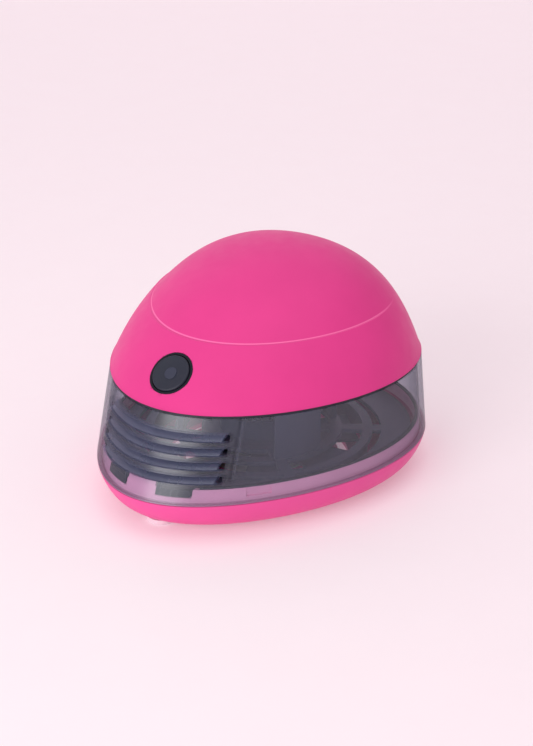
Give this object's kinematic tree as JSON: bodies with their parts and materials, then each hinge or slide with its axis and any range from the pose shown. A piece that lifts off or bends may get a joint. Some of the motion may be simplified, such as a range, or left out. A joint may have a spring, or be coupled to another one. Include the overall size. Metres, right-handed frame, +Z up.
{
  "type": "portable fan aroma diffuser",
  "caption": "Helmet-shaped desk-top fan unit: pink dome with a push button, smoked band with nose louvres, inner fan cradle and shallow base with feet.",
  "frame": {"origin": "under the middle of the body, on the surface that the feet stand on", "axes": "+Z up, -Y towards the nose with the louvres, X across the width"},
  "size_m": [0.1112, 0.13, 0.0798],
  "materials": {
    "pink_plastic": "satin gloss moulded shell",
    "smoked_plastic": "clear smoked moulding",
    "grey_plastic": "fine moulded texture",
    "dark_plastic": "satin",
    "dark_rubber": "matte",
    "button_rubber": "soft touch",
    "clear_rubber": "translucent",
    "felt": "pressed felt",
    "zinc_steel": "zinc plated",
    "bronze": "sintered",
    "ferrite": "ground ferrite",
    "circuit_board": "solder mask",
    "wire_jacket": "vinyl jacket"
  },
  "bodies": {
    "base": {"base_bowl": "pink_plastic", "rim_seal": "dark_rubber", "rubber_feet": "clear_rubber", "scent_pad": "felt"},
    "upper_housing": {"dome_cover": "pink_plastic", "seam_gasket": "dark_rubber", "smoked_band": "smoked_plastic", "front_clips": "dark_plastic", "fan_cradle": "grey_plastic", "cradle_screws": "zinc_steel", "motor_can": "zinc_steel", "motor_magnets": "ferrite", "motor_bushes": "bronze", "motor_cap": "dark_plastic", "motor_terminals": "bronze", "motor_screws": "zinc_steel", "button_collar": "dark_plastic", "switch_case": "dark_plastic", "switch_board": "circuit_board", "board_screws": "zinc_steel", "dc_jack": "dark_plastic", "jack_pin": "zinc_steel", "jack_nut": "zinc_steel", "wire_leads": "wire_jacket"},
    "fan_rotor": {"motor_shaft": "zinc_steel", "armature": "zinc_steel", "impeller": "grey_plastic"},
    "button": {"power_button": "button_rubber", "switch_plunger": "dark_plastic"}
  },
  "joints": [
    {"name": "upper_lift", "type": "slide", "parent": "base", "child": "upper_housing", "axis": [0, 0, 1], "range_m": [0, 0.045]},
    {"name": "fan_spin", "type": "hinge", "parent": "upper_housing", "child": "fan_rotor", "pos_m": [0, 0.0045, 0.012], "axis": [0, 0, 1], "continuous": true},
    {"name": "power_press", "type": "slide", "parent": "upper_housing", "child": "button", "axis": [0, 0.655, -0.7556], "range_m": [0, 0.001], "stiffness_N_per_m": 1500, "springref_m": -0.0006}
  ]
}
